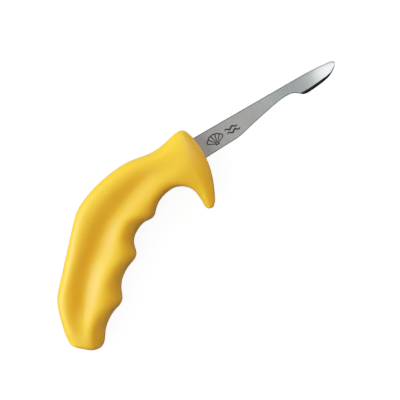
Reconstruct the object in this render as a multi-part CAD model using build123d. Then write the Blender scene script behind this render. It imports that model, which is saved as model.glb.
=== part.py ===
from build123d import *
import math
import os

# Shellfish knife with a pistol grip: a fixed stainless blade whose tang is moulded
# into a hard core, under a thick soft outer moulding. Nothing on it moves.
#
# Working frame, millimetres: +X runs along the straight spine of the blade to the tip,
# +Y is the spine side, Z is the thickness, with the middle plane of the knife at Z = 0
# and X = 0 about where the blade leaves the grip. At the end every piece is shifted so
# that the knife lies on its side on Z = 0, with the origin under the middle of its box.

# ------------------------------------------------------------------ driving dimensions
SHIFT_X = 13.5           # working frame to final frame
SHIFT_Y = 24.14
SHIFT_Z = 12.81

BLADE_THICKNESS = 2.4    # ground flats of the exposed blade
TANG_THICKNESS = 2.6     # as-rolled stock, inside the grip and just in front of it
GRIND_START_X = 2.2      # where the ground flats begin, just in front of the grip
SPINE_Y = 5.62           # the straight back of the blade
BEND_START_X = 51.0      # from here the working end curves up
BEND_END_X = 77.5
BEND_ANGLE = 12.0        # degrees, all along the curved end
TIP_THICKNESS = 1.7
BEVEL_WIDTH = 1.65       # ground edge along the belly, heel to tip, on both faces
BEVEL_DEPTH = 0.825

TANG_WIDTH = 8.4
TANG_BEND = (-29.0, 0.0)
TANG_END = (-63.0, -15.8)
TANG_HOLE_DIA = 4.5
TANG_HOLES = [(-18.0, 0.0), (-38.5, -4.4), (-57.0, -13.0)]

SKIN_TOLERANCE = 0.02    # how closely the grip's smooth skin follows its sections

CORE_HALF_THICKNESS = 4.5
CORE_EDGE_ROUND = 1.6

# Plan outline of the grip as a strip of cross-sections, from the flat butt to the end of
# the finger horn: the finger-side point, then the back (later the front) point.
OUTLINE = [
    (-94.8, -60.0, -102.1, -53.6),
    (-91.6, -60.4, -103.3, -51.8),
    (-88.9, -59.3, -103.5, -49.7),
    (-86.8, -57.0, -103.3, -47.1),
    (-84.9, -54.2, -102.8, -43.9),
    (-82.4, -51.7, -102.0, -40.6),
    (-79.4, -49.6, -101.2, -37.5),
    (-76.1, -48.0, -100.3, -34.6),
    (-73.3, -47.2, -99.5, -32.5),
    (-70.8, -45.8, -98.6, -30.4),
    (-69.4, -43.8, -97.5, -28.4),
    (-68.4, -41.3, -95.9, -26.3),
    (-67.0, -38.7, -93.8, -23.9),
    (-65.0, -36.4, -91.5, -21.4),
    (-62.1, -34.2, -89.1, -18.9),
    (-58.9, -32.6, -86.8, -16.2),
    (-56.1, -31.6, -84.8, -14.1),
    (-53.9, -30.3, -83.0, -12.2),
    (-52.7, -28.2, -81.3, -10.3),
    (-51.9, -25.1, -79.2, -8.1),
    (-50.4, -22.4, -77.4, -6.1),
    (-47.8, -20.3, -75.3, -3.9),
    (-44.4, -18.7, -73.2, -1.5),
    (-41.3, -18.2, -71.1, 0.6),
    (-38.7, -18.4, -68.9, 2.6),
    (-36.4, -17.7, -66.3, 4.3),
    (-34.6, -15.9, -63.3, 5.8),
    (-32.7, -14.1, -59.2, 7.5),
    (-30.4, -12.6, -54.4, 9.0),
    (-27.5, -11.5, -48.6, 10.3),
    (-24.2, -10.9, -41.8, 11.3),
    (-20.9, -11.0, -33.3, 11.3),
    (-17.9, -12.2, -24.6, 9.9),
    (-15.5, -14.2, -16.3, 10.2),
    (-14.1, -16.4, -9.1, 11.9),
    (-13.5, -18.4, -4.3, 11.8),
    (-13.3, -20.2, -2.1, 8.5),
    (-13.2, -21.8, -0.9, 3.3),
    (-13.1, -23.5, -0.5, -2.3),
    (-13.2, -25.0, -1.0, -8.6),
    (-13.1, -26.2, -2.3, -14.4),
    (-12.8, -27.1, -4.3, -19.8),
    (-12.3, -27.8, -6.3, -24.2),
    (-11.6, -28.3, -7.8, -26.9),
    (-10.8, -28.5, -9.0, -28.1),
]

# Shape of the cross-sections at some of those stations: how far across the strip the
# five inner control points stand, then the half-thickness at all seven, finger side first.
SECTIONS = [
    (0, (0.09, 0.30, 0.52, 0.75, 0.93), (3.9, 7.6, 8.3, 8.3, 8.3, 7.7, 3.9)),
    (1, (0.13, 0.31, 0.52, 0.75, 0.92), (4.9, 9.7, 10.7, 10.7, 10.7, 9.9, 4.9)),
    (2, (0.22, 0.32, 0.52, 0.75, 0.90), (4.5, 9.0, 12.1, 12.3, 11.7, 10.9, 5.4)),
    (3.5, (0.22, 0.32, 0.53, 0.74, 0.90), (4.4, 9.3, 13.0, 12.4, 12.4, 11.8, 5.6)),
    (5, (0.15, 0.33, 0.53, 0.74, 0.92), (4.8, 10.5, 13.2, 10.6, 12.8, 12.8, 5.8)),
    (7, (0.10, 0.39, 0.56, 0.73, 0.95), (5.1, 11.5, 12.8, 7.5, 12.8, 13.6, 6.0)),
    (9, (0.17, 0.44, 0.60, 0.74, 0.95), (4.0, 11.5, 12.5, 6.4, 12.5, 13.6, 6.0)),
    (12, (0.18, 0.37, 0.54, 0.74, 0.93), (3.7, 12.1, 11.8, 6.3, 12.3, 13.2, 5.9)),
    (15, (0.11, 0.36, 0.57, 0.75, 0.93), (4.6, 11.7, 12.3, 6.7, 12.0, 12.9, 5.9)),
    (17, (0.15, 0.35, 0.60, 0.75, 0.94), (4.1, 10.9, 12.2, 6.4, 12.0, 13.1, 6.0)),
    (20, (0.15, 0.26, 0.49, 0.70, 0.95), (3.8, 10.6, 11.0, 6.1, 12.5, 12.9, 6.1)),
    (23, (0.16, 0.31, 0.48, 0.70, 0.95), (4.9, 9.2, 11.6, 7.5, 12.5, 12.9, 6.4)),
    (25, (0.08, 0.31, 0.49, 0.70, 0.95), (5.8, 10.1, 11.9, 7.5, 12.8, 12.8, 6.5)),
    (27.5, (0.05, 0.22, 0.43, 0.68, 0.95), (6.2, 11.1, 10.8, 7.4, 13.4, 12.4, 6.3)),
    (30, (0.05, 0.24, 0.43, 0.70, 0.95), (6.0, 11.1, 12.3, 9.5, 13.0, 12.0, 6.0)),
    (32, (0.05, 0.31, 0.48, 0.72, 0.92), (6.4, 10.7, 12.3, 11.4, 11.8, 10.2, 5.0)),
    (34, (0.05, 0.34, 0.51, 0.71, 0.87), (6.3, 9.7, 11.9, 11.9, 10.7, 8.3, 3.8)),
    (36, (0.08, 0.33, 0.52, 0.71, 0.86), (5.1, 8.4, 11.5, 11.1, 9.6, 7.2, 2.6)),
    (38, (0.15, 0.32, 0.52, 0.73, 0.87), (3.4, 7.5, 9.4, 9.6, 8.4, 6.0, 1.7)),
    (40, (0.13, 0.31, 0.52, 0.75, 0.88), (1.7, 5.8, 7.0, 7.5, 6.8, 5.2, 1.3)),
    (42, (0.11, 0.30, 0.52, 0.75, 0.91), (1.6, 4.3, 5.3, 5.1, 5.5, 5.7, 1.1)),
    (43, (0.09, 0.30, 0.52, 0.75, 0.90), (1.9, 3.6, 4.2, 4.3, 4.1, 3.5, 1.3)),
    (44, (0.08, 0.30, 0.52, 0.75, 0.92), (1.0, 1.9, 2.2, 2.3, 2.2, 1.8, 0.8)),
]

# Plan outline of the hard core, well inside the grip, round from the butt end.
CORE_POINTS = [
    (-96.8, -49.0), (-96.0, -40.0), (-91.2, -29.6), (-84.0, -19.6), (-76.4, -9.6),
    (-67.6, -1.6), (-56.8, 3.2), (-43.0, 5.6), (-29.0, 5.8), (-17.4, 5.4),
    (-11.6, 0.4), (-14.6, -5.6), (-24.0, -6.8), (-34.0, -9.4), (-43.0, -13.0),
    (-52.0, -18.6), (-60.0, -26.4), (-68.0, -33.4), (-77.0, -41.6), (-86.0, -49.6),
    (-92.4, -53.6),
]

# Plan outline of the exposed blade. The belly runs from the tip back to the heel, and the
# throat is the shallow scoop behind the heel.
TIP_SPINE = [(60.0, 5.62), (64.4, 5.44), (68.8, 5.16), (73.0, 4.70), (75.6, 4.11)]
TIP_NOSE = (76.45, 3.2)
BELLY = [(76.03, 2.02), (74.01, 0.06), (71.48, -1.4), (68.67, -2.26), (64.31, -2.91),
         (60.6, -3.25), (57.8, -3.33)]
THROAT = [(55.72, -2.85), (53.46, -0.99), (50.89, 0.24), (48.02, 0.5), (43.7, 0.15),
          (36.52, -1.21), (29.02, -2.77), (22.32, -4.38), (18.0, -5.23), (13.65, -5.46),
          (4.9, -5.81), (-2.0, -6.09)]


# How the ground edge runs: points along the belly, the direction from each into the blade,
# and how deep the grind is there as a share of BEVEL_DEPTH. It runs out towards the tip; at
# the heel it goes straight on, and the throat's curve cuts across it.
BEVEL_RUN = [
    ((77.2, 4.4), (-0.93, 0.37), -0.9), ((76.4, 2.9), (-0.90, 0.44), 0.05),
    ((75.79, 1.71), (-0.80, 0.60), 0.22), ((74.01, 0.06), (-0.60, 0.80), 0.42),
    ((71.48, -1.4), (-0.38, 0.92), 0.62), ((68.67, -2.26), (-0.22, 0.98), 0.86),
    ((64.31, -2.91), (-0.10, 1.0), 1.0), ((60.6, -3.25), (-0.04, 1.0), 1.0),
    ((57.6, -3.33), (0.0, 1.0), 1.0), ((55.4, -3.33), (0.0, 1.0), 1.0),
    ((53.4, -3.33), (0.0, 1.0), 1.0),
]


# ------------------------------------------------------------------ the grip's outside
def station_values():
    """Values of every control row at each station, laid between the listed ones and eased."""
    rows = []
    for i in range(len(OUTLINE)):
        for (k0, f0, h0), (k1, f1, h1) in zip(SECTIONS[:-1], SECTIONS[1:]):
            if k0 <= i <= k1:
                t = (i - k0) / (k1 - k0)
                rows.append([a + (b - a) * t for a, b in zip(f0 + h0, f1 + h1)])
                break
    for _ in range(3):
        eased = [list(r) for r in rows]
        for i in range(2, len(rows) - 2):
            for j in range(12):
                eased[i][j] = (rows[i - 1][j] + 2 * rows[i][j] + rows[i + 1][j]) / 4
        rows = eased
    return rows


def natural_spline(values, per_step):
    """A smooth curve through evenly spaced values, sampled per_step times in each interval."""
    n = len(values)
    slope2 = [0.0] * n
    work = [0.0] * n
    for i in range(1, n - 1):
        p = 0.5 * slope2[i - 1] + 2.0
        slope2[i] = -0.5 / p
        work[i] = (3.0 * (values[i + 1] - 2 * values[i] + values[i - 1]) - 0.5 * work[i - 1]) / p
    for i in range(n - 2, -1, -1):
        slope2[i] = slope2[i] * slope2[i + 1] + work[i]
    slope2[-1] = 0.0
    out = []
    for k in range((n - 1) * per_step + 1):
        i = min(k // per_step, n - 2)
        t = k / per_step - i
        a = 1 - t
        out.append(a * values[i] + t * values[i + 1]
                   + ((a ** 3 - a) * slope2[i] + (t ** 3 - t) * slope2[i + 1]) / 6)
    return out


def grip_points(per_step, per_span):
    """Rows of points over the upper half of the grip, each row one cross-section from the
    finger side round to the back. Each section is the upper half of a closed smooth curve,
    symmetric about Z = 0, so it leaves the middle plane straight up at both ends."""
    columns = []
    for line, values in zip(OUTLINE, station_values()):
        xi, yi, xo, yo = line
        across = [0.0] + list(values[:5]) + [1.0]
        row = []
        for f, h in zip(across, values[5:]):
            row += [xi + (xo - xi) * f, yi + (yo - yi) * f, h]
        columns.append(row)
    smooth = [natural_spline([row[c] for row in columns], per_step) for c in range(21)]
    grid = []
    for k in range(len(smooth[0])):
        top = [(smooth[3 * j][k], smooth[3 * j + 1][k], smooth[3 * j + 2][k]) for j in range(7)]
        ring = ([(x, y, -h) for x, y, h in (top[1], top[0])] + top
                + [(x, y, -h) for x, y, h in (top[6], top[5])])
        row = []
        for q in range(7 * per_span + 1):
            v = -0.5 + q / per_span
            i = min(int(math.floor(v)), 6)
            f = v - i
            w = ((1 - f) ** 3 / 6, (3 * f ** 3 - 6 * f ** 2 + 4) / 6,
                 (-3 * f ** 3 + 3 * f ** 2 + 3 * f + 1) / 6, f ** 3 / 6)
            row.append([sum(a * p[c] for a, p in zip(w, ring[i + 1:i + 5])) for c in range(3)])
        row[0][2] = row[-1][2] = 0.0
        grid.append(row)
    return grid


def make_grip_outside():
    """One smooth skin over the upper half, its mirror image, and a flat face at each end."""
    grid = grip_points(3, 4)
    half = Face.make_surface_from_array_of_points(
        [[Vector(*p) for p in row] for row in grid], tol=SKIN_TOLERANCE, min_deg=3, max_deg=3)
    other = half.mirror(Plane.XY)
    caps = []
    for row in (grid[0], grid[-1]):
        middle = Vector(*[sum(p[c] for p in (row[0], row[-1])) / 2 for c in range(3)])
        edge = [e for e in half.edges() if abs((e @ 0.5).Z) > 1 and (e.center() - middle).length < 12]
        edge = min(edge, key=lambda e: (Vector((e @ 0.5).X, (e @ 0.5).Y, 0) - middle).length)
        caps.append(Face(Wire([edge, edge.mirror(Plane.XY)])))
    return Solid(Shell([half, other] + caps))


# ------------------------------------------------------------------ blade and tang
def bend_at(x):
    """Height of the blade's middle surface and its half-thickness, at a place along it."""
    half, tip_half = BLADE_THICKNESS / 2, TIP_THICKNESS / 2
    length = BEND_END_X - BEND_START_X
    share = min(max((x - BEND_START_X) / length, 0.0), 1.0)
    radius = length / math.sin(math.radians(BEND_ANGLE))
    along = max(x - BEND_START_X, 0.0)
    return radius - math.sqrt(radius ** 2 - along ** 2), half + (tip_half - half) * share ** 1.5


def bevel_cutter(side):
    """Everything beyond the ground surface, on the upper (1) or lower (-1) face."""
    slope = BEVEL_DEPTH / BEVEL_WIDTH
    raw = []
    for (x, y), (dx, dy), share in BEVEL_RUN:
        raw.append([x, y, dx / math.hypot(dx, dy), dy / math.hypot(dx, dy), share])
    smooth = [natural_spline([r[c] for r in raw], 3) for c in range(5)]
    rows = []
    for x, y, dx, dy, share in zip(*smooth):
        row = []
        for k in range(6):
            inward = -1.0 + 3.3 * k / 5
            px, py = x + dx * inward, y + dy * inward
            middle, half = bend_at(px)
            row.append(Vector(px, py, middle + side * (half - BEVEL_DEPTH * share + slope * inward)))
        rows.append(row)
    skin = Face.make_surface_from_array_of_points(rows, tol=0.01, min_deg=1, max_deg=3)
    return Solid.extrude(skin, Vector(0, 0, side * 8))


def make_blade():
    # plan outline of the exposed blade
    with BuildPart() as plan:
        with BuildSketch(Plane.XY.offset(-12)):
            with BuildLine():
                Line((-2.0, SPINE_Y), TIP_SPINE[0])
                Spline(*TIP_SPINE, TIP_NOSE, *BELLY, *THROAT, tangents=[(1, 0), (-1, -0.04)],
                       tangent_scalars=[1.0, 1.0])
                Line(THROAT[-1], (-2.0, SPINE_Y))
            make_face()
        extrude(amount=24)
    # side profile: flat, then curving up to the tip and thinning, with the thicker
    # unground stock at the grip
    steps = [BEND_START_X + (BEND_END_X - BEND_START_X) * k / 8 for k in range(9)]
    high = [(x, bend_at(x)[0] + bend_at(x)[1]) for x in steps]
    low = [(x, bend_at(x)[0] - bend_at(x)[1]) for x in steps]
    half, stock = BLADE_THICKNESS / 2, TANG_THICKNESS / 2
    with BuildPart() as side:
        with BuildSketch(Plane.XZ.offset(-20)):
            with BuildLine():
                Line((GRIND_START_X, half), high[0])
                Spline(*high, tangents=[(1, 0), (high[8][0] - high[7][0], high[8][1] - high[7][1])],
                       tangent_scalars=[1.0, 1.0])
                Line(high[-1], low[-1])
                Spline(*reversed(low), tangents=[(low[7][0] - low[8][0], low[7][1] - low[8][1]), (-1, 0)],
                       tangent_scalars=[1.0, 1.0])
                Line(low[0], (GRIND_START_X, -half))
                Polyline((GRIND_START_X, -half), (GRIND_START_X, -stock), (-10.0, -stock),
                         (-10.0, stock), (GRIND_START_X, stock), (GRIND_START_X, half))
            make_face()
        extrude(amount=40, both=True)
    blade = plan.part & side.part
    for face in (1, -1):
        blade = blade - bevel_cutter(face)
    return blade


def make_tang():
    with BuildPart() as tang:
        with BuildSketch(Plane.XY.offset(-TANG_THICKNESS / 2)):
            with BuildLine():
                Polyline((-1.5, 0), TANG_BEND, TANG_END)
            trace(line_width=TANG_WIDTH)
            with Locations(TANG_END):
                Circle(TANG_WIDTH / 2)
            with Locations(*TANG_HOLES):
                Circle(TANG_HOLE_DIA / 2, mode=Mode.SUBTRACT)
        extrude(amount=TANG_THICKNESS)
    return tang.part


# ------------------------------------------------------------------ core
def make_core_blank():
    with BuildPart() as core:
        with BuildSketch(Plane.XY.offset(-CORE_HALF_THICKNESS)):
            with BuildLine():
                Spline(*CORE_POINTS, periodic=True)
            make_face()
        extrude(amount=2 * CORE_HALF_THICKNESS)
        fillet(core.edges().filter_by_position(Axis.Z, CORE_HALF_THICKNESS - 0.01, CORE_HALF_THICKNESS + 0.01)
               + core.edges().filter_by_position(Axis.Z, -CORE_HALF_THICKNESS - 0.01, -CORE_HALF_THICKNESS + 0.01),
               radius=CORE_EDGE_ROUND)
    return core.part


def main():
    outside = make_grip_outside()
    blade = make_blade() + make_tang()
    core_blank = make_core_blank()
    core = core_blank - blade
    cover = outside - core_blank - blade
    os.makedirs("parts", exist_ok=True)
    shift = Location((SHIFT_X, SHIFT_Y, SHIFT_Z))
    for name, shape in (("blade_and_tang", blade), ("grip_core", core), ("grip_cover", cover)):
        solids = shape.solids() if hasattr(shape, "solids") else [shape]
        moved = [s.moved(shift) for s in solids]
        piece = moved[0] if len(moved) == 1 else Compound(children=moved)
        piece.label = name
        box = piece.bounding_box()
        print(name, len(solids), "solid(s)", round(piece.volume / 1000, 3), "cm3",
              [round(v, 2) for v in (box.min.X, box.min.Y, box.min.Z, box.max.X, box.max.Y, box.max.Z)])
        export_step(piece, os.path.join("parts", name + ".step"))


main()
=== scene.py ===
import math

import bpy
import numpy as np
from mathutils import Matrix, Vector
from mathutils.geometry import delaunay_2d_cdt


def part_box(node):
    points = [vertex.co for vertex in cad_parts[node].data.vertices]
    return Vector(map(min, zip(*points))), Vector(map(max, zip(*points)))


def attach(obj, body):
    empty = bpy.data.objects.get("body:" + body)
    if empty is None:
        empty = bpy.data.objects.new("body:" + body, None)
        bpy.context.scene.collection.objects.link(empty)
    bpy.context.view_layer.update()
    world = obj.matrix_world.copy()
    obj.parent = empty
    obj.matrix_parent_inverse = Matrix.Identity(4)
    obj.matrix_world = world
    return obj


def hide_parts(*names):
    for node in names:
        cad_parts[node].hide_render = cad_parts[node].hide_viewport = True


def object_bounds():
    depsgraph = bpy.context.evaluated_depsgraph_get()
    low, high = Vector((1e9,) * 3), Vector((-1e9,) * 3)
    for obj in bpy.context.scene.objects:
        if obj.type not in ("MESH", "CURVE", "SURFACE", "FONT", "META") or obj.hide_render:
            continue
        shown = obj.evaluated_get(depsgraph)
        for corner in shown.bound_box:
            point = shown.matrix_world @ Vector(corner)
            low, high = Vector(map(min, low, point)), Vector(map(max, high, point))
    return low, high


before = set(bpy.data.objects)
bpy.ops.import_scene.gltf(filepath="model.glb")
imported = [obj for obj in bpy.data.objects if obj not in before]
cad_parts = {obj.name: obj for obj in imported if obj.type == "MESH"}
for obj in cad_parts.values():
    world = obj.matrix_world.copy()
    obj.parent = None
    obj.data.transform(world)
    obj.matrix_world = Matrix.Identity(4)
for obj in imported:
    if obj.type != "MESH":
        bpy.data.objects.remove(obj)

CAD_BOX = [[float(c) for c in corner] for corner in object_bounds()]

# ---------------------------------------------------------------------------------------
# The knife's own numbers, in millimetres in the design's working frame: +X along the
# blade's spine, +Y the spine side, Z = 0 the middle plane. They are the same net of
# control points that the CAD skin is made from; the boxes of the CAD nodes say where the
# working frame lies.
# ---------------------------------------------------------------------------------------
OUTLINE = np.array([
    (-94.8, -60.0, -102.1, -53.6), (-91.6, -60.4, -103.3, -51.8), (-88.9, -59.3, -103.5, -49.7),
    (-86.8, -57.0, -103.3, -47.1), (-84.9, -54.2, -102.8, -43.9), (-82.4, -51.7, -102.0, -40.6),
    (-79.4, -49.6, -101.2, -37.5), (-76.1, -48.0, -100.3, -34.6), (-73.3, -47.2, -99.5, -32.5),
    (-70.8, -45.8, -98.6, -30.4), (-69.4, -43.8, -97.5, -28.4), (-68.4, -41.3, -95.9, -26.3),
    (-67.0, -38.7, -93.8, -23.9), (-65.0, -36.4, -91.5, -21.4), (-62.1, -34.2, -89.1, -18.9),
    (-58.9, -32.6, -86.8, -16.2), (-56.1, -31.6, -84.8, -14.1), (-53.9, -30.3, -83.0, -12.2),
    (-52.7, -28.2, -81.3, -10.3), (-51.9, -25.1, -79.2, -8.1), (-50.4, -22.4, -77.4, -6.1),
    (-47.8, -20.3, -75.3, -3.9), (-44.4, -18.7, -73.2, -1.5), (-41.3, -18.2, -71.1, 0.6),
    (-38.7, -18.4, -68.9, 2.6), (-36.4, -17.7, -66.3, 4.3), (-34.6, -15.9, -63.3, 5.8),
    (-32.7, -14.1, -59.2, 7.5), (-30.4, -12.6, -54.4, 9.0), (-27.5, -11.5, -48.6, 10.3),
    (-24.2, -10.9, -41.8, 11.3), (-20.9, -11.0, -33.3, 11.3), (-17.9, -12.2, -24.6, 9.9),
    (-15.5, -14.2, -16.3, 10.2), (-14.1, -16.4, -9.1, 11.9), (-13.5, -18.4, -4.3, 11.8),
    (-13.3, -20.2, -2.1, 8.5), (-13.2, -21.8, -0.9, 3.3), (-13.1, -23.5, -0.5, -2.3),
    (-13.2, -25.0, -1.0, -8.6), (-13.1, -26.2, -2.3, -14.4), (-12.8, -27.1, -4.3, -19.8),
    (-12.3, -27.8, -6.3, -24.2), (-11.6, -28.3, -7.8, -26.9), (-10.8, -28.5, -9.0, -28.1),
])
SECTIONS = [
    (0, (0.09, 0.30, 0.52, 0.75, 0.93), (3.9, 7.6, 8.3, 8.3, 8.3, 7.7, 3.9)),
    (1, (0.13, 0.31, 0.52, 0.75, 0.92), (4.9, 9.7, 10.7, 10.7, 10.7, 9.9, 4.9)),
    (2, (0.22, 0.32, 0.52, 0.75, 0.90), (4.5, 9.0, 12.1, 12.3, 11.7, 10.9, 5.4)),
    (3.5, (0.22, 0.32, 0.53, 0.74, 0.90), (4.4, 9.3, 13.0, 12.4, 12.4, 11.8, 5.6)),
    (5, (0.15, 0.33, 0.53, 0.74, 0.92), (4.8, 10.5, 13.2, 10.6, 12.8, 12.8, 5.8)),
    (7, (0.10, 0.39, 0.56, 0.73, 0.95), (5.1, 11.5, 12.8, 7.5, 12.8, 13.6, 6.0)),
    (9, (0.17, 0.44, 0.60, 0.74, 0.95), (4.0, 11.5, 12.5, 6.4, 12.5, 13.6, 6.0)),
    (12, (0.18, 0.37, 0.54, 0.74, 0.93), (3.7, 12.1, 11.8, 6.3, 12.3, 13.2, 5.9)),
    (15, (0.11, 0.36, 0.57, 0.75, 0.93), (4.6, 11.7, 12.3, 6.7, 12.0, 12.9, 5.9)),
    (17, (0.15, 0.35, 0.60, 0.75, 0.94), (4.1, 10.9, 12.2, 6.4, 12.0, 13.1, 6.0)),
    (20, (0.15, 0.26, 0.49, 0.70, 0.95), (3.8, 10.6, 11.0, 6.1, 12.5, 12.9, 6.1)),
    (23, (0.16, 0.31, 0.48, 0.70, 0.95), (4.9, 9.2, 11.6, 7.5, 12.5, 12.9, 6.4)),
    (25, (0.08, 0.31, 0.49, 0.70, 0.95), (5.8, 10.1, 11.9, 7.5, 12.8, 12.8, 6.5)),
    (27.5, (0.05, 0.22, 0.43, 0.68, 0.95), (6.2, 11.1, 10.8, 7.4, 13.4, 12.4, 6.3)),
    (30, (0.05, 0.24, 0.43, 0.70, 0.95), (6.0, 11.1, 12.3, 9.5, 13.0, 12.0, 6.0)),
    (32, (0.05, 0.31, 0.48, 0.72, 0.92), (6.4, 10.7, 12.3, 11.4, 11.8, 10.2, 5.0)),
    (34, (0.05, 0.34, 0.51, 0.71, 0.87), (6.3, 9.7, 11.9, 11.9, 10.7, 8.3, 3.8)),
    (36, (0.08, 0.33, 0.52, 0.71, 0.86), (5.1, 8.4, 11.5, 11.1, 9.6, 7.2, 2.6)),
    (38, (0.15, 0.32, 0.52, 0.73, 0.87), (3.4, 7.5, 9.4, 9.6, 8.4, 6.0, 1.7)),
    (40, (0.13, 0.31, 0.52, 0.75, 0.88), (1.7, 5.8, 7.0, 7.5, 6.8, 5.2, 1.3)),
    (42, (0.11, 0.30, 0.52, 0.75, 0.91), (1.6, 4.3, 5.3, 5.1, 5.5, 5.7, 1.1)),
    (43, (0.09, 0.30, 0.52, 0.75, 0.90), (1.9, 3.6, 4.2, 4.3, 4.1, 3.5, 1.3)),
    (44, (0.08, 0.30, 0.52, 0.75, 0.92), (1.0, 1.9, 2.2, 2.3, 2.2, 1.8, 0.8)),
]

BLADE_HALF, TIP_HALF, STOCK_HALF = 1.2, 0.85, 1.3
BEND_START, BEND_END, BEND_ANGLE = 51.0, 77.5, 12.0
BEVEL_WIDTH, BEVEL_DEPTH, HEEL_Y = 1.65, 0.825, -3.33
GRIND_START = 2.2
SPINE_Y = 5.62
TIP_SPINE = [(60.0, 5.62), (64.4, 5.44), (68.8, 5.16), (73.0, 4.70), (75.6, 4.11)]
TIP_NOSE = (76.45, 3.2)
BELLY = [(76.03, 2.02), (74.01, 0.06), (71.48, -1.4), (68.67, -2.26), (64.31, -2.91),
         (60.6, -3.25), (57.8, -3.33)]
THROAT = [(55.72, -2.85), (53.46, -0.99), (50.89, 0.24), (48.02, 0.5), (43.7, 0.15),
          (36.52, -1.21), (29.02, -2.77), (22.32, -4.38), (18.0, -5.23), (13.65, -5.46),
          (4.9, -5.81), (-2.0, -6.09)]
TANG = {"width": 8.4, "bend": (-29.0, 0.0), "end": (-63.0, -15.8), "hole_d": 4.5,
        "holes": [(-18.0, 0.0), (-38.5, -4.4), (-57.0, -13.0)]}


# ---------------------------------------------------------------------------------------
# small helpers
# ---------------------------------------------------------------------------------------
def natural_spline(values, at):
    """Smooth curve through rows of evenly spaced values, sampled at the given places."""
    values = np.asarray(values, float)
    n = len(values)
    m = np.zeros((n, n))
    rhs = np.zeros_like(values)
    m[0, 0] = m[-1, -1] = 1.0
    for i in range(1, n - 1):
        m[i, i - 1:i + 2] = (1, 4, 1)
        rhs[i] = 6 * (values[i + 1] - 2 * values[i] + values[i - 1])
    d2 = np.linalg.solve(m, rhs)
    at = np.asarray(at, float)
    i = np.clip(np.floor(at).astype(int), 0, n - 2)
    t = (at - i)[:, None]
    a = 1 - t
    return a * values[i] + t * values[i + 1] + ((a ** 3 - a) * d2[i] + (t ** 3 - t) * d2[i + 1]) / 6


def curve_through(points, step, start=None, end=None):
    """Smooth curve through uneven points by their distance along it, sampled about every step mm."""
    p = np.asarray(points, float)
    s = np.concatenate([[0], np.cumsum(np.linalg.norm(np.diff(p, axis=0), axis=1))])
    n = len(p)
    h = np.diff(s)
    m = np.zeros((n, n))
    rhs = np.zeros_like(p)
    for i in range(1, n - 1):
        m[i, i - 1:i + 2] = (h[i - 1] / 6, (h[i - 1] + h[i]) / 3, h[i] / 6)
        rhs[i] = (p[i + 1] - p[i]) / h[i] - (p[i] - p[i - 1]) / h[i - 1]
    for row, tangent, k, sign in ((0, start, 0, 1), (n - 1, end, n - 2, -1)):
        if tangent is None:
            m[row, row] = 1.0
        else:
            t = np.asarray(tangent, float)
            t = t / np.linalg.norm(t)
            m[row, row] = h[k] / 3
            m[row, row + sign] = h[k] / 6
            rhs[row] = sign * ((p[k + 1] - p[k]) / h[k] - t)
    d2 = np.linalg.solve(m, rhs)
    count = int(round(s[-1] / step))
    q = np.linspace(0, s[-1], count + 1)
    i = np.clip(np.searchsorted(s, q, side="right") - 1, 0, n - 2)
    hh = h[i][:, None]
    b = ((q - s[i]) / h[i])[:, None]
    a = 1 - b
    return a * p[i] + b * p[i + 1] + ((a ** 3 - a) * d2[i] + (b ** 3 - b) * d2[i + 1]) * hh ** 2 / 6


def new_mesh(name, verts_mm, faces, smooth=True):
    mesh = bpy.data.meshes.new(name)
    mesh.from_pydata([tuple(v) for v in (np.asarray(verts_mm) + SHIFT) / 1000.0], [], faces)
    mesh.validate()
    mesh.update()
    if smooth:
        mesh.shade_smooth()
    obj = bpy.data.objects.new(name, mesh)
    bpy.context.scene.collection.objects.link(obj)
    return obj


# ---------------------------------------------------------------------------------------
# the grip's skin
# ---------------------------------------------------------------------------------------
def station_values():
    knots = [k for k, _, _ in SECTIONS]
    table = np.array([f + h for _, f, h in SECTIONS])
    st = np.arange(len(OUTLINE))
    rows = np.stack([np.interp(st, knots, table[:, c]) for c in range(12)], 1)
    for _ in range(3):
        eased = rows.copy()
        eased[2:-2] = (rows[1:-3] + 2 * rows[2:-2] + rows[3:-1]) / 4
        rows = eased
    return rows


def half_sections(u, v):
    """Points over the upper half of the grip for rows u along it and places v across it."""
    rows = station_values()
    across = np.concatenate([np.zeros((len(rows), 1)), rows[:, :5], np.ones((len(rows), 1))], 1)
    inner, outer = OUTLINE[:, None, :2], OUTLINE[:, None, 2:]
    net = np.concatenate([inner + (outer - inner) * across[..., None], rows[:, 5:, None]], 2)
    net = natural_spline(net.reshape(len(rows), -1), u).reshape(len(u), 7, 3)
    down = net * (1, 1, -1)
    ring = np.concatenate([down[:, 1::-1], net, down[:, :4:-1]], 1)
    i = np.clip(np.floor(v).astype(int), -1, 6)
    f = v - i
    w = np.stack([(1 - f) ** 3 / 6, (3 * f ** 3 - 6 * f ** 2 + 4) / 6,
                  (-3 * f ** 3 + 3 * f ** 2 + 3 * f + 1) / 6, f ** 3 / 6], 1)
    out = np.zeros((len(u), len(v), 3))
    for k in range(4):
        out += w[None, :, k, None] * ring[:, i + 1 + k]
    out[:, 0, 2] = out[:, -1, 2] = 0.0
    return out


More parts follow.
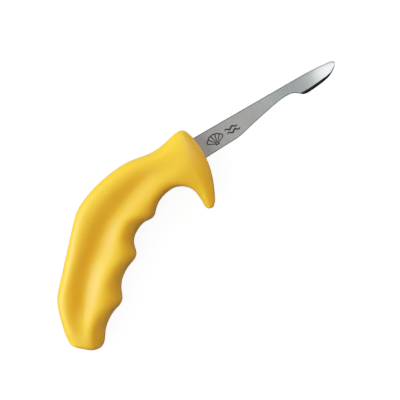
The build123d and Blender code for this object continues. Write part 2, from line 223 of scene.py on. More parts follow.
def grip_rings():
    u = np.concatenate([np.linspace(0, 2, 17)[:-1], np.linspace(2, 40, 38 * 5 + 1)[:-1],
                        np.linspace(40, 44, 33)])
    near = np.array([0.0, 0.008, 0.02, 0.036, 0.07])
    v = np.concatenate([-0.5 + near, np.linspace(-0.38, 6.38, 56), 6.5 - near[::-1]])
    half = half_sections(u, v)
    rings = np.concatenate([half, half[:, -2:0:-1] * (1, 1, -1)], 1)
    # a fine raised line where the two halves of the mould met
    du = np.gradient(rings, axis=0)
    dv = np.roll(rings, -1, 1) - np.roll(rings, 1, 1)
    normal = np.cross(dv, du)
    normal /= np.maximum(np.linalg.norm(normal, axis=2, keepdims=True), 1e-9)
    centre = rings.mean(1, keepdims=True)
    if ((rings - centre) * normal).sum() < 0:
        normal = -normal
    lift = np.zeros(rings.shape[1])
    last = len(v) - 1
    lift[[0, last]] = 0.055
    for k in (1, -1):
        lift[k % len(lift)] = lift[last + k] = 0.045
        lift[(2 * k) % len(lift)] = lift[last + 2 * k] = 0.012
    return rings + normal * lift[None, :, None]


def rounded_end(rings, first, count, inset, bulge):
    """Rings that carry an end of the skin round its rim and in to the middle of the end."""
    order = rings if first else rings[::-1]
    rim, back = order[0], order[count]
    centre = rim.mean(0)
    outward = centre - order[6].mean(0)
    a, b = rim[0] - centre, rim[len(rim) // 4] - centre
    flat = np.cross(a, b)
    flat /= np.linalg.norm(flat)
    if flat @ outward < 0:
        flat = -flat
    away = centre - rim
    dist = np.linalg.norm(away, axis=1, keepdims=True)
    inner = rim + away / dist * np.minimum(inset, 0.6 * dist)
    out = []
    for t in np.linspace(0, 1, 7)[1:]:
        out.append((1 - t) ** 2 * back + 2 * t * (1 - t) * rim + t ** 2 * inner)
    for t in (0.82, 0.62, 0.42, 0.22):
        out.append(centre + (inner - centre) * t + flat * bulge * (1 - t ** 2))
    return out, centre + flat * bulge, count


def build_grip():
    rings = grip_rings()
    n = rings.shape[1]
    head, head_tip, cut0 = rounded_end(rings, True, 7, 1.1, 0.25)
    tail, tail_tip, cut1 = rounded_end(rings, False, 10, 0.75, 0.35)
    keep = rings[cut0:len(rings) - cut1]
    stack = head[::-1] + list(keep) + tail
    verts = np.concatenate([np.concatenate(stack), [head_tip], [tail_tip]])
    faces = []
    for r in range(len(stack) - 1):
        for c in range(n):
            d = (c + 1) % n
            faces.append((r * n + c, r * n + d, (r + 1) * n + d, (r + 1) * n + c))
    a, b = len(stack) * n, len(stack) * n + 1
    top = (len(stack) - 1) * n
    for c in range(n):
        d = (c + 1) % n
        faces.append((a, d, c))
        faces.append((b, top + c, top + d))
    return verts, faces


grip_verts, grip_faces = build_grip()
raw = grip_rings()
low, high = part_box("grip_cover")
cad_mid = (np.array(low) + np.array(high)) * 500.0
raw_mid = (raw.reshape(-1, 3).min(0) + raw.reshape(-1, 3).max(0)) / 2
SHIFT = cad_mid - raw_mid
print("working frame to row frame, mm:", [round(float(s), 3) for s in SHIFT])

grip = new_mesh("grip_cover_moulding", grip_verts, grip_faces)
import bmesh
bm = bmesh.new()
bm.from_mesh(grip.data)
bmesh.ops.recalc_face_normals(bm, faces=bm.faces)
bm.to_mesh(grip.data)
bm.free()


# ---------------------------------------------------------------------------------------
# blade and tang
# ---------------------------------------------------------------------------------------
def bend_at(x):
    x = np.asarray(x, float)
    length = BEND_END - BEND_START
    share = np.clip((x - BEND_START) / length, 0, 1)
    radius = length / math.sin(math.radians(BEND_ANGLE))
    along = np.maximum(x - BEND_START, 0)
    half = BLADE_HALF + (TIP_HALF - BLADE_HALF) * share ** 1.5
    half = half + (STOCK_HALF - BLADE_HALF) * np.clip((GRIND_START - x) / 0.35, 0, 1)
    return radius - np.sqrt(radius ** 2 - along ** 2), half


def blade_outline():
    """Closed loop of plan points with, at each, how much of the belly's grind it has."""
    straight = np.stack([np.linspace(-2.0, 60.0, 125)[:-1], np.full(124, SPINE_Y)], 1)
    curved = curve_through(TIP_SPINE + [TIP_NOSE] + BELLY + THROAT, 0.3, (1, 0), (-1, -0.04))
    root = np.stack([np.full(22, -2.0), np.linspace(-6.09, SPINE_Y, 24)[1:-1]], 1)
    loop = np.concatenate([straight, curved, root])
    on_curve = np.zeros(len(loop))
    on_curve[124:124 + len(curved)] = 1
    x, y = loop[:, 0], loop[:, 1]
    below = (y < 3.4) & (on_curve > 0) & (x > 54.5)
    xs = [57.8, 60.6, 63.0, 66.5, 68.66, 71.45, 73.97, 75.75, 76.4]
    share = np.where(below, np.interp(x, xs, [1.0, 1.0, 0.96, 0.92, 0.86, 0.62, 0.42, 0.22, 0.05]), -1.0)
    # at the heel the grind goes straight on and the throat's curve cuts across it
    heel = (y < 0.4) & (on_curve > 0) & (x > 51.0) & (x < 57.8)
    share = np.where(heel, np.clip(1 - (y - HEEL_Y) / BEVEL_WIDTH, -1, 1), share)
    return loop, share, heel


def build_blade():
    loop, share, heel = blade_outline()
    n = len(loop)
    tangent = np.roll(loop, -1, 0) - np.roll(loop, 1, 0)
    tangent /= np.linalg.norm(tangent, axis=1, keepdims=True)
    inward = np.stack([tangent[:, 1], -tangent[:, 0]], 1)        # the loop runs clockwise
    for _ in range(6):                                            # ease the turn at sharp corners
        inward = (np.roll(inward, 1, 0) + 2 * inward + np.roll(inward, -1, 0)) / 4
    inward /= np.linalg.norm(inward, axis=1, keepdims=True)
    edge_round = 0.08
    # each face is crowned a little where the belt runs off its edge: over how far, and how steeply
    back = (loop[:, 1] > 3.0) & (loop[:, 0] > 40.0)
    tip = np.clip((loop[:, 0] - 53.0) / 13.0, 0, 1) * back
    crown_w = (0.75 + 1.85 * tip) * np.where(share > 0, 0.4, 1.0)
    crown_t = np.where(back, np.interp(loop[:, 0], [48, 54, 60, 66], [0.30, 0.21, 0.15, 0.13]), 0.30) * (1.0 - np.clip(share, 0, 1) ** 0.5) * np.clip((loop[:, 0] + 1.9) / 0.5, 0, 1)
    throat = (loop[:, 1] < 0.45) & (loop[:, 0] > 51.0) & (loop[:, 0] < 57.0)
    crown_t[throat] = 0.0
    bevelled = 0.42 * throat * (share < 0.3)                      # the throat's narrow broken edge
    for _ in range(8):
        crown_w = (np.roll(crown_w, 1) + 2 * crown_w + np.roll(crown_w, -1)) / 4
        crown_t = (np.roll(crown_t, 1) + 2 * crown_t + np.roll(crown_t, -1)) / 4

    def crown(d, width, tilt):
        return 0.5 * tilt * width * np.clip(1 - d / width, 0, 1) ** 2
    slope = BEVEL_DEPTH / BEVEL_WIDTH
    shoulder = np.clip(BEVEL_WIDTH * share, 0.0, None)
    shoulder = np.where(heel, shoulder / np.maximum(inward[:, 1], 0.5), shoulder)
    band = 0.17 + 0.09 * np.clip((loop[:, 0] - 50.0) / 14.0, 0, 1)  # width of the edge strip that takes the painted dark edge colour (painted shade)
    # at the throat the painted dark edge strip is widened to the broken edge
    band = np.maximum(band, bevelled)
    for _ in range(3):
        band = (np.roll(band, 1) + 2 * band + np.roll(band, -1)) / 4
        bevelled = (np.roll(bevelled, 1) + 2 * bevelled + np.roll(bevelled, -1)) / 4
    least = np.where(loop[:, 0] < -0.6, 0.12, 0.5)
    rings, drops = [], []
    for d in (0.0, 0.006, 0.02, 0.043, 0.08, band - 0.05, band):
        rings.append(loop + inward * np.broadcast_to(d, (n,))[:, None])
        over = max(edge_round - float(np.min(d)), 0.0)
        drops.append((np.broadcast_to(d, (n,)), edge_round - math.sqrt(edge_round ** 2 - over ** 2)))
    for part in (0.2, 0.4, 0.7, 0.93, 1.0, 1.08):                # loops that follow the grind's shoulder
        d = band + np.maximum(shoulder - band, least) * part
        rings.append(loop + inward * d[:, None])
        drops.append((d, 0.0))
    inner = rings[-1]
    zs = []
    for ring, (d, drop) in zip(rings, drops):
        cut = np.maximum(BEVEL_DEPTH * share - slope * d, 0.0)
        cut = np.where(share > 0, cut, 0.0)
        cut = np.where(heel, np.maximum(BEVEL_DEPTH - slope * (ring[:, 1] - HEEL_Y), 0.0), cut)
        middle, half = bend_at(ring[:, 0])
        broken = 0.5 * np.clip(bevelled - d, 0, None)
        zs.append((middle, half - drop - cut - crown(d, crown_w, crown_t) - broken))
    # inside the last loop: a filled field of points, so that the curved end stays smooth
    xs = np.concatenate([[-1.5, -0.7, 0.1, 0.9, 1.6, GRIND_START - 0.35, GRIND_START], np.arange(2.75, 54.0, 0.75),
                         np.arange(54.2, 76.0, 0.5)])
    ys = np.arange(-5.5, 5.3, 0.5)
    poly = [Vector((float(a), float(b))) for a, b in inner]
    grid = []
    px, py = inner[:, 0], inner[:, 1]
    qx, qy = np.roll(px, -1), np.roll(py, -1)
    for x in xs:
        for y in ys:
            crosses = ((py > y) != (qy > y)) & (x < (qx - px) * (y - py) / np.where(qy == py, 1e-9, qy - py) + px)
            if crosses.sum() % 2 and np.min((px - x) ** 2 + (py - y) ** 2) > 0.3 ** 2:
                grid.append(Vector((float(x), float(y))))
    pts = poly + grid
    edges = [(i, (i + 1) % n) for i in range(n)]
    out_v, _, out_f, orig_v, _, _ = delaunay_2d_cdt(pts, edges, [list(range(n))], 1, 1e-7)
    field = np.array([(v.x, v.y) for v in out_v])
    where = {}
    for i, o in enumerate(orig_v):
        for k in o:
            where[k] = i
    rows = len(rings)
    verts, faces = [], []
    rim = set()                                                   # faces of the edge strip that get the painted dark edge colour (painted shade)

    def side(sign):
        start = len(verts)
        for ring, (middle, half) in zip(rings, zs):
            for (x, y), m, h in zip(ring, middle, half):
                verts.append((x, y, m + sign * h))
        for r in range(rows - 1):
            for c in range(n):
                d = (c + 1) % n
                q = (start + r * n + c, start + r * n + d, start + (r + 1) * n + d, start + (r + 1) * n + c)
                # the first rings in from the edge take the painted dark edge colour (painted shade)
                if r < 6 and max(share[c], share[d]) <= 0.1:
                    rim.add(len(faces))
                faces.append(q if sign < 0 else q[::-1])
        last = start + (rows - 1) * n
        number = {}
        for k in range(n):
            number[where[k]] = last + k
        m, h = bend_at(field[:, 0])
        away = (field[:, None, 0] - loop[None, :, 0]) ** 2 + (field[:, None, 1] - loop[None, :, 1]) ** 2
        near = away.argmin(1)
        h = h - crown(np.sqrt(away.min(1)), crown_w[near], crown_t[near])
        for i in range(len(field)):
            if i not in number:
                number[i] = len(verts)
                verts.append((field[i, 0], field[i, 1], m[i] + sign * h[i]))
        for f in out_f:
            q = tuple(number[i] for i in f)
            faces.append(q if sign > 0 else q[::-1])
        return start
    top = side(1)
    bottom = side(-1)
    # the narrow wall round the edge, in four bands
    middle, half = zs[0]
    bands = [top]
    for k in (1, 2, 3):
        bands.append(len(verts))
        for (x, y), m, h in zip(rings[0], middle, half):
            verts.append((x, y, m + h * (1 - k / 2.0)))
    bands.append(bottom)
    for a, b in zip(bands[:-1], bands[1:]):
        for c in range(n):
            d = (c + 1) % n
            # the edge wall takes the painted dark edge colour (painted shade) too
            if max(share[c], share[d]) <= 0.1:
                rim.add(len(faces))
            faces.append((a + c, a + d, b + d, b + c))
    return np.array(verts), faces, rim


def build_tang():
    """The tang's plate, with its three keying holes, as one closed shell."""
    w = TANG["width"] / 2
    a, b, c = np.array((-2.0, 0.0)), np.array(TANG["bend"]), np.array(TANG["end"])
    d2 = (c - b) / np.linalg.norm(c - b)
    n2 = np.array((-d2[1], d2[0]))          # to the left of travel towards the end
    tan_half = math.tan(math.acos(max(min(float(-d2[0]), 1), -1)) / 2)
    outline = [a + (0, w), b + (-w * tan_half, w)]
    # travelling -X: left is -Y side, so n2 points down-left after the bend
    end_up, end_low = c - n2 * w, c + n2 * w
    outline += [end_up]
    angle0 = math.atan2(*(end_up - c)[::-1])
    for k in range(1, 18):
        t = angle0 + math.pi * k / 18
        outline.append(c + w * np.array((math.cos(t), math.sin(t))))
    outline += [end_low, b + (w * tan_half, -w), a + (0, -w)]
    curve = bpy.data.curves.new("tang_plan", "CURVE")
    curve.dimensions = "2D"
    curve.fill_mode = "BOTH"
    curve.extrude = STOCK_HALF
    loops = [outline]
    for h in TANG["holes"]:
        loops.append([np.array(h) + TANG["hole_d"] / 2 * np.array((math.cos(t), math.sin(t)))
                      for t in np.linspace(0, 2 * math.pi, 41)[:-1]])
    for pts in loops:
        sp = curve.splines.new("POLY")
        sp.points.add(len(pts) - 1)
        for p, q in zip(sp.points, pts):
            p.co = (float(q[0]), float(q[1]), 0, 1)
        sp.use_cyclic_u = True
    tmp = bpy.data.objects.new("tang_tmp", curve)
    bpy.context.scene.collection.objects.link(tmp)
    bpy.context.view_layer.update()
    mesh = bpy.data.meshes.new_from_object(tmp.evaluated_get(bpy.context.evaluated_depsgraph_get()))
    bm = bmesh.new()
    bm.from_mesh(mesh)
    bmesh.ops.remove_doubles(bm, verts=bm.verts, dist=1e-4)
    bmesh.ops.recalc_face_normals(bm, faces=bm.faces)
    verts = np.array([v.co[:] for v in bm.verts])
    faces = [tuple(v.index for v in f.verts) for f in bm.faces]
    bm.free()
    bpy.data.objects.remove(tmp)
    bpy.data.curves.remove(curve)
    bpy.data.meshes.remove(mesh)
    return verts, faces


blade_v, blade_f, blade_painted_dark_edge_faces = build_blade()
tang_v, tang_f = build_tang()
count = len(blade_v)
blade = new_mesh("blade_and_tang_steel", np.concatenate([blade_v, tang_v]),
                 list(blade_f) + [tuple(i + count for i in f) for f in tang_f])
bm = bmesh.new()
bm.from_mesh(blade.data)
bm.faces.ensure_lookup_table()
# these faces get the painted dark edge material
for k in blade_painted_dark_edge_faces:
    bm.faces[k].material_index = 1
bmesh.ops.recalc_face_normals(bm, faces=bm.faces)
for e in bm.edges:
    if max(v.index for v in e.verts) >= count and len(e.link_faces) == 2 and e.calc_face_angle() > 0.6:
        e.smooth = False
bm.to_mesh(blade.data)
bm.free()
uv = blade.data.uv_layers.new(name="along_blade")
for loop_ in blade.data.loops:
    co = blade.data.vertices[loop_.vertex_index].co
    uv.data[loop_.index].uv = (co.x * 5.0 + 0.5, co.y * 5.0 + 0.5)


# ---------------------------------------------------------------------------------------
# a small generic etched mark on the blade: a plain scallop fan and two ripples
# ---------------------------------------------------------------------------------------
def ribbon(points, width):
    """Flat strip of even width along a line of plan points."""
    p = np.asarray(points, float)
    t = np.gradient(p, axis=0)
    t /= np.maximum(np.linalg.norm(t, axis=1, keepdims=True), 1e-9)
    n = np.stack([-t[:, 1], t[:, 0]], 1)
    w = np.broadcast_to(np.asarray(width, float), (len(p),))[:, None] / 2
    return p + n * w, p - n * w


def build_mark():
    verts, faces = [], []
    low, top = BLADE_HALF - 0.03, BLADE_HALF + 0.03

    def add(points, width):
        left, right = ribbon(points, width)
        base = len(verts)
        for a, b in zip(left, right):
            verts.extend([(a[0], a[1], top), (b[0], b[1], top), (b[0], b[1], low), (a[0], a[1], low)])
        for k in range(len(left) - 1):
            for j in range(4):
                i, n = base + 4 * k + j, base + 4 * k + (j + 1) % 4
                faces.append((i, n, n + 4, i + 4))
        end = base + 4 * (len(left) - 1)
        faces.append((base + 3, base + 2, base + 1, base))
        faces.append((end, end + 1, end + 2, end + 3))
    # the fan stands on its hinge, opening along +Y
    cx, cy, r = 7.4, -2.9, 4.9
    spread = np.radians(np.linspace(26, 154, 97))
    scallop = r + 0.22 * np.abs(np.sin((spread - math.radians(26)) / math.radians(128) * 5 * math.pi))
    add(np.stack([cx + scallop * np.cos(spread), cy + scallop * np.sin(spread)], 1), 0.6)
    for a in np.radians(np.linspace(26, 154, 6)):
        s = np.linspace(0.14, 0.985, 12)
        add([(cx + r * k * math.cos(a), cy + r * k * math.sin(a)) for k in s], 0.34 + 0.26 * s)
    add([(cx - 1.1, cy + 0.05), (cx, cy - 0.12), (cx + 1.1, cy + 0.05)], 0.7)
    for y0, x0, x1 in ((0.75, 13.4, 20.4), (-1.25, 13.9, 20.9)):
        x = np.linspace(x0, x1, 85)
        y = y0 + 0.5 * np.sin(2 * math.pi * (x - x0) / 3.5)
        add(np.stack([x, y], 1), 0.34 + 0.50 * np.sin(math.pi * (x - x0) / (x1 - x0)) ** 0.6)
    return np.array(verts), faces


mark_v, mark_f = build_mark()
mark = new_mesh("etched_mark", mark_v, mark_f, smooth=False)


# ---------------------------------------------------------------------------------------
# materials
# ---------------------------------------------------------------------------------------
def material(name):
    m = bpy.data.materials.new(name)
    m.use_nodes = True
    nodes, links = m.node_tree.nodes, m.node_tree.links
    nodes.clear()
    out = nodes.new("ShaderNodeOutputMaterial")
    shader = nodes.new("ShaderNodeBsdfPrincipled")
    links.new(shader.outputs["BSDF"], out.inputs["Surface"])
    return m, nodes, links, shader


def node(nodes, kind, **values):
    n = nodes.new(kind)
    for k, v in values.items():
        if k in n.inputs:
            n.inputs[k].default_value = v
        else:
            setattr(n, k, v)
    return n


def noise(nodes, links, vector, scale, detail=2.0, rough=0.5):
    n = node(nodes, "ShaderNodeTexNoise", Scale=scale, Detail=detail, Roughness=rough)
    links.new(vector, n.inputs["Vector"])
    return n


def ramp(nodes, links, value, stops):
    r = nodes.new("ShaderNodeValToRGB")
    marks = r.color_ramp.elements
    marks[0].position, marks[-1].position = stops[0][0], stops[-1][0]
    for p, _ in stops[1:-1]:
        marks.new(p)
    for e, (_, c) in zip(marks, stops):
        e.color = c
    links.new(value, r.inputs["Fac"])
    return r


def srgb(r, g, b):
    return tuple(((c / 255.0 + 0.055) / 1.055) ** 2.4 if c > 10 else c / 255.0 / 12.92 for c in (r, g, b)) + (1.0,)


# the yellow moulding: even satin plastic with a very fine mould texture and faint flow marks
m_grip, n_, l_, s_ = material("yellow_satin_moulding")
tc = node(n_, "ShaderNodeTexCoord")
pos = tc.outputs["Object"]
clouds = noise(n_, l_, pos, 38.0, 4.0, 0.55)
specks = noise(n_, l_, pos, 900.0, 2.0, 0.6)
tint = ramp(n_, l_, clouds.outputs["Fac"], [(0.30, (0.85, 0.425, 0.019, 1)), (0.52, (0.86, 0.44, 0.021, 1)), (0.72, (0.87, 0.455, 0.024, 1))])
fleck = ramp(n_, l_, specks.outputs["Fac"], [(0.35, (0.965, 0.965, 0.95, 1)), (0.6, (1, 1, 1, 1))])
mul = node(n_, "ShaderNodeMix", data_type="RGBA", blend_type="MULTIPLY")
mul.inputs[0].default_value = 1.0
l_.new(tint.outputs["Color"], mul.inputs[6])
l_.new(fleck.outputs["Color"], mul.inputs[7])
l_.new(mul.outputs[2], s_.inputs["Base Color"])
rr = noise(n_, l_, pos, 120.0, 3.0, 0.6)
rmap = node(n_, "ShaderNodeMapRange")
rmap.inputs["To Min"].default_value = 0.33
rmap.inputs["To Max"].default_value = 0.43
l_.new(rr.outputs["Fac"], rmap.inputs["Value"])
l_.new(rmap.outputs["Result"], s_.inputs["Roughness"])
fine = noise(n_, l_, pos, 3200.0, 2.0, 0.5)
bump = node(n_, "ShaderNodeBump", Strength=0.10, Distance=0.0001)
l_.new(fine.outputs["Fac"], bump.inputs["Height"])
soft = noise(n_, l_, pos, 260.0, 2.0, 0.5)
bump2 = node(n_, "ShaderNodeBump", Strength=0.05, Distance=0.0004)
l_.new(soft.outputs["Fac"], bump2.inputs["Height"])
l_.new(bump.outputs["Normal"], bump2.inputs["Normal"])
l_.new(bump2.outputs["Normal"], s_.inputs["Normal"])
s_.inputs["IOR"].default_value = 1.47
s_.inputs["Specular IOR Level"].default_value = 0.42
s_.inputs["Subsurface Weight"].default_value = 0.4
s_.inputs["Subsurface Radius"].default_value = (1.0, 0.55, 0.12)
s_.inputs["Subsurface Scale"].default_value = 0.004

# ground stainless steel: fine lines straight across the blade, soft and slightly uneven. Along the blade the
# colour carries a painted reflection: darker and warmer next to the moulding as painted shade and a painted yellow
# reflection of the moulding, and lighter, bluer bands further out and near the nose as painted highlight
m_steel, n_, l_, s_ = material("ground_stainless_steel")
tc = node(n_, "ShaderNodeTexCoord")
mapping = node(n_, "ShaderNodeMapping")
mapping.inputs["Scale"].default_value = (1.0, 0.035, 0.05)
l_.new(tc.outputs["Object"], mapping.inputs["Vector"])
lines = noise(n_, l_, mapping.outputs["Vector"], 9000.0, 3.0, 0.65)
wide = noise(n_, l_, mapping.outputs["Vector"], 2600.0, 3.0, 0.6)
patch = noise(n_, l_, tc.outputs["Object"], 90.0, 3.0, 0.55)
col = ramp(n_, l_, wide.outputs["Fac"], [(0.30, (0.588, 0.593, 0.588, 1)), (0.70, (0.647, 0.652, 0.647, 1))])
col2 = ramp(n_, l_, patch.outputs["Fac"], [(0.35, (0.95, 0.95, 0.945, 1)), (0.65, (1, 1, 1, 1))])
along = node(n_, "ShaderNodeSeparateXYZ")
l_.new(tc.outputs["Object"], along.inputs["Vector"])
wander = node(n_, "ShaderNodeMath", operation="MULTIPLY_ADD")
l_.new(patch.outputs["Fac"], wander.inputs[0])
wander.inputs[1].default_value = 0.006
l_.new(along.outputs["X"], wander.inputs[2])
blade_length_share = node(n_, "ShaderNodeMapRange", interpolation_type="SMOOTHSTEP")
blade_length_share.inputs["From Min"].default_value = (SHIFT[0] - 3.0) / 1000.0
blade_length_share.inputs["From Max"].default_value = (SHIFT[0] + 80.0) / 1000.0
l_.new(wander.outputs["Value"], blade_length_share.inputs["Value"])
# painted reflection along the blade: darker and warmer by the moulding (painted shade), lighter and bluer bands
# further out and at the nose (painted highlight)
painted_reflection_ramp = ramp(n_, l_, blade_length_share.outputs["Result"], [(0.0, (0.66, 0.62, 0.59, 1)), (0.05, (0.86, 0.835, 0.81, 1)),
                                              (0.19, (1.0, 0.985, 0.965, 1)), (0.38, (0.99, 1.0, 0.98, 1)),
                                              (0.56, (1.03, 1.085, 1.105, 1)), (0.75, (0.95, 1.0, 1.02, 1)),
                                              (0.925, (0.96, 1.01, 1.03, 1)), (0.965, (1.08, 1.135, 1.15, 1)),
                                              (0.985, (1.06, 1.115, 1.135, 1)), (1.0, (0.95, 1.0, 1.02, 1))])
mul = node(n_, "ShaderNodeMix", data_type="RGBA", blend_type="MULTIPLY")
mul.inputs[0].default_value = 1.0
l_.new(col.outputs["Color"], mul.inputs[6])
l_.new(col2.outputs["Color"], mul.inputs[7])
mul2 = node(n_, "ShaderNodeMix", data_type="RGBA", blend_type="MULTIPLY")
mul2.inputs[0].default_value = 1.0
l_.new(mul.outputs[2], mul2.inputs[6])
l_.new(painted_reflection_ramp.outputs["Color"], mul2.inputs[7])
l_.new(mul2.outputs[2], s_.inputs["Base Color"])
s_.inputs["Metallic"].default_value = 1.0
rmap = node(n_, "ShaderNodeMapRange")
rmap.inputs["To Min"].default_value = 0.13
rmap.inputs["To Max"].default_value = 0.21
l_.new(lines.outputs["Fac"], rmap.inputs["Value"])
l_.new(rmap.outputs["Result"], s_.inputs["Roughness"])
bump = node(n_, "ShaderNodeBump", Strength=0.05, Distance=0.00003)
l_.new(lines.outputs["Fac"], bump.inputs["Height"])
l_.new(bump.outputs["Normal"], s_.inputs["Normal"])
tangent = node(n_, "ShaderNodeTangent", direction_type="UV_MAP", uv_map="along_blade")
l_.new(tangent.outputs["Tangent"], s_.inputs["Tangent"])
s_.inputs["Anisotropic"].default_value = 0.3

# the blade's edge strip: metal far darker than the ground steel, as painted shade standing in for the edge's dark
# reflection, with a fine sheared grain
m_painted_dark_edge, n_, l_, s_ = material("painted_dark_edge_steel")
tc = node(n_, "ShaderNodeTexCoord")
mapping = node(n_, "ShaderNodeMapping")
mapping.inputs["Scale"].default_value = (1.0, 1.0, 0.06)
l_.new(tc.outputs["Object"], mapping.inputs["Vector"])
shear = noise(n_, l_, mapping.outputs["Vector"], 5200.0, 3.0, 0.65)
col = ramp(n_, l_, shear.outputs["Fac"], [(0.30, (0.150, 0.160, 0.172, 1)), (0.70, (0.235, 0.250, 0.265, 1))])
l_.new(col.outputs["Color"], s_.inputs["Base Color"])
s_.inputs["Metallic"].default_value = 1.0
rmap = node(n_, "ShaderNodeMapRange")
rmap.inputs["To Min"].default_value = 0.30
rmap.inputs["To Max"].default_value = 0.46
l_.new(shear.outputs["Fac"], rmap.inputs["Value"])
l_.new(rmap.outputs["Result"], s_.inputs["Roughness"])
bump = node(n_, "ShaderNodeBump", Strength=0.2, Distance=0.00004)
l_.new(shear.outputs["Fac"], bump.inputs["Height"])
l_.new(bump.outputs["Normal"], s_.inputs["Normal"])

# the dark oxide of the etched mark
m_mark, n_, l_, s_ = material("etched_dark_oxide")
tc = node(n_, "ShaderNodeTexCoord")
grain = noise(n_, l_, tc.outputs["Object"], 2600.0, 2.0, 0.6)
col = ramp(n_, l_, grain.outputs["Fac"], [(0.35, (0.012, 0.012, 0.013, 1)), (0.7, (0.045, 0.045, 0.045, 1))])
l_.new(col.outputs["Color"], s_.inputs["Base Color"])
rmap = node(n_, "ShaderNodeMapRange")
rmap.inputs["To Min"].default_value = 0.55
rmap.inputs["To Max"].default_value = 0.75
l_.new(grain.outputs["Fac"], rmap.inputs["Value"])
l_.new(rmap.outputs["Result"], s_.inputs["Roughness"])
s_.inputs["Specular IOR Level"].default_value = 0.15

# the hard core inside the grip: natural glass-filled plastic
m_core, n_, l_, s_ = material("natural_glass_filled_plastic")
tc = node(n_, "ShaderNodeTexCoord")
mapping = node(n_, "ShaderNodeMapping")
mapping.inputs["Scale"].default_value = (0.3, 1.0, 1.0)
l_.new(tc.outputs["Object"], mapping.inputs["Vector"])
fibres = noise(n_, l_, mapping.outputs["Vector"], 1800.0, 4.0, 0.65)
col = ramp(n_, l_, fibres.outputs["Fac"], [(0.35, srgb(196, 192, 176)), (0.65, srgb(212, 209, 196))])
l_.new(col.outputs["Color"], s_.inputs["Base Color"])
rmap = node(n_, "ShaderNodeMapRange")
rmap.inputs["To Min"].default_value = 0.5
rmap.inputs["To Max"].default_value = 0.65
l_.new(fibres.outputs["Fac"], rmap.inputs["Value"])
l_.new(rmap.outputs["Result"], s_.inputs["Roughness"])
bump = node(n_, "ShaderNodeBump", Strength=0.1, Distance=0.0001)
l_.new(fibres.outputs["Fac"], bump.inputs["Height"])
l_.new(bump.outputs["Normal"], s_.inputs["Normal"])

grip.data.materials.append(m_grip)
blade.data.materials.append(m_steel)
blade.data.materials.append(m_painted_dark_edge)
mark.data.materials.append(m_mark)
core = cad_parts["grip_core"]
if core.material_slots:
    for sl in core.material_slots:
        sl.material = m_core
else:
    core.data.materials.append(m_core)

for piece, slot_name in ((grip, "grip_yellow"), (blade, "blade_steel"), (mark, "blade_steel")):
    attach(piece, "root")
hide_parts("grip_cover")
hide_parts("blade_and_tang")

# ---------------------------------------------------------------------------------------
# stage, light, camera
# ---------------------------------------------------------------------------------------
lo, hi = Vector(CAD_BOX[0]), Vector(CAD_BOX[1])
size = 3.0
floor_mesh = bpy.data.meshes.new("floor")
floor_mesh.from_pydata([(-size, -size, lo.z - 0.0002), (size, -size, lo.z - 0.0002),
                        (size, size, lo.z - 0.0002), (-size, size, lo.z - 0.0002)], [], [(0, 1, 2, 3)])
floor = bpy.data.objects.new("floor", floor_mesh)
bpy.context.scene.collection.objects.link(floor)
m_floor, n_, l_, s_ = material("pale_floor")
s_.inputs["Base Color"].default_value = (0.35, 0.35, 0.35, 1)
s_.inputs["Roughness"].default_value = 0.9
s_.inputs["Specular IOR Level"].default_value = 0.0
s_.inputs["Emission Color"].default_value = (1, 1, 1, 1)
s_.inputs["Emission Strength"].default_value = 1.4
bounce = n_.new("ShaderNodeBsdfDiffuse")
bounce.inputs["Color"].default_value = (0.25, 0.25, 0.25, 1)
path = n_.new("ShaderNodeLightPath")
mix = n_.new("ShaderNodeMixShader")
l_.new(path.outputs["Is Camera Ray"], mix.inputs[0])
l_.new(bounce.outputs["BSDF"], mix.inputs[1])
l_.new(s_.outputs["BSDF"], mix.inputs[2])
l_.new(mix.outputs["Shader"], n_["Material Output"].inputs["Surface"])
floor_mesh.materials.append(m_floor)

scene = bpy.context.scene
world = bpy.data.worlds.new("studio")
world.use_nodes = True
scene.world = world
wn, wl = world.node_tree.nodes, world.node_tree.links
background = wn["Background"]
background.inputs["Color"].default_value = (1, 1, 1, 1)


def calc(operation, *terms):
    n = wn.new("ShaderNodeMath")
    n.operation = operation
    for socket, term in zip(n.inputs, terms):
        if isinstance(term, (int, float)):
            socket.default_value = term
        else:
            wl.new(term, socket)
    return n.outputs[0]


def fade(what, start, end):
    n = wn.new("ShaderNodeMapRange")
    n.interpolation_type = "SMOOTHSTEP"
    n.inputs["From Min"].default_value = start
    n.inputs["From Max"].default_value = end
    wl.new(what, n.inputs["Value"])
    return n.outputs["Result"]


looking = wn.new("ShaderNodeTexCoord").outputs["Generated"]
split = wn.new("ShaderNodeSeparateXYZ")
wl.new(looking, split.inputs["Vector"])
height = calc("MAXIMUM", split.outputs["Z"], 0.02)
ceiling_x = calc("DIVIDE", split.outputs["X"], height)
ceiling_y = calc("DIVIDE", split.outputs["Y"], height)
above = calc("GREATER_THAN", split.outputs["Z"], 0.02)


def panel(x0, x1, y0, y1, strength, soft=0.03):
    """A soft panel on the ceiling, in multiples of the ceiling's height from the knife."""
    across = calc("MULTIPLY", fade(ceiling_x, x0 - soft, x0 + soft), fade(ceiling_x, x1 + soft, x1 - soft))
    deep = calc("MULTIPLY", fade(ceiling_y, y0 - soft, y0 + soft), fade(ceiling_y, y1 + soft, y1 - soft))
    return calc("MULTIPLY", calc("MULTIPLY", calc("MULTIPLY", across, deep), above), strength)


def glow(elevation, azimuth, strength):
    """A broad soft light low at one side."""
    e, a = math.radians(elevation), math.radians(azimuth)
    n = wn.new("ShaderNodeVectorMath")
    n.operation = "DOT_PRODUCT"
    wl.new(looking, n.inputs[0])
    n.inputs[1].default_value = (math.cos(e) * math.cos(a), math.cos(e) * math.sin(a), math.sin(e))
    return calc("MULTIPLY", calc("POWER", calc("MAXIMUM", n.outputs["Value"], 0.0), 16.0), strength)


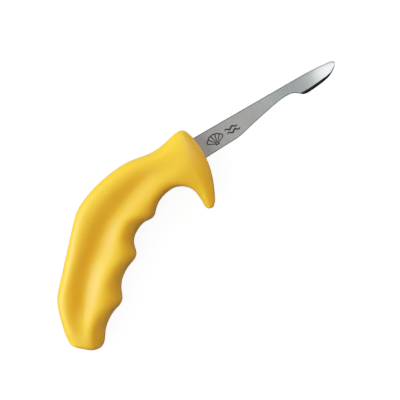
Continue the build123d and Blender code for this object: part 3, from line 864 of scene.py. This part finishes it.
LIGHTS = [
    panel(-0.5, -0.145, -0.5, 0.22, 2.25, 0.05),
    panel(-1.4, -0.5, -0.5, 0.9, 3.65),
    panel(-2.2, -0.2, 0.9, 1.8, 4.9),
    panel(0.2, 0.7, -1.2, 1.2, 0.54),
    panel(0.7, 3.5, 0.0, 1.2, 2.3),
    panel(-0.145, 0.2, -0.3, 0.3, 0.56, 0.05),
    panel(-0.5, -0.145, 0.3, 0.9, 1.05, 0.05),
    panel(-2.5, 2.5, -7.0, -1.9, 0.75, 0.2),
    glow(8, 30, 2.5), glow(8, 60, 2.7), glow(8, 120, 0.8), glow(8, 150, 12.6),
]
for k, light in enumerate(LIGHTS):
    light.node.label = "light %d" % k
total = LIGHTS[0]
for light in LIGHTS[1:]:
    total = calc("ADD", total, light)
seen = wn.new("ShaderNodeLightPath").outputs["Is Camera Ray"]
shown = calc("MULTIPLY", seen, 1.75)
unseen = calc("MULTIPLY", calc("SUBTRACT", 1.0, seen), total)
wl.new(calc("ADD", shown, unseen), background.inputs["Strength"])

ANGLE = math.radians(-30.0)          # the picture's right-hand direction, turned from +X
MM_PER_PIXEL = 0.487
centre = Vector((-13.66 + SHIFT[0], -22.25 + SHIFT[1], 0)) / 1000.0
plane_z = (lo.z + hi.z) / 2
camera_data = bpy.data.cameras.new("camera")
camera = bpy.data.objects.new("camera", camera_data)
scene.collection.objects.link(camera)
distance = 1.1
camera.location = (centre.x, centre.y, plane_z + distance)
camera.rotation_euler = (0, 0, ANGLE)
camera_data.sensor_width = 36.0
camera_data.lens = 36.0 * distance / (400 * MM_PER_PIXEL / 1000.0)
camera_data.clip_end = 20.0
scene.camera = camera
scene.view_settings.view_transform = "Standard"
scene.view_settings.look = "None"
# the soft shoulder of a camera's tone curve: straight up to 0.4, then easing to white at 1.65
scene.view_settings.use_curve_mapping = True
mapping = scene.view_settings.curve_mapping
mapping.white_level = (1.65, 1.65, 1.65)
tone = mapping.curves[3]
TONE = [(0.0, 0.0), (0.1, 0.1), (0.2, 0.2), (0.3, 0.3), (0.4, 0.398), (0.52, 0.506), (0.63, 0.591), (0.755, 0.668),
        (0.95, 0.762), (1.18, 0.848), (1.38, 0.912), (1.52, 0.958), (1.65, 1.0)]
tone.points[0].location = (0, 0)
tone.points[-1].location = (1, 1)
for level, out in TONE[1:-1]:
    tone.points.new(level / 1.65, out)
for point in tone.points:
    point.handle_type = "AUTO_CLAMPED"
mapping.update()
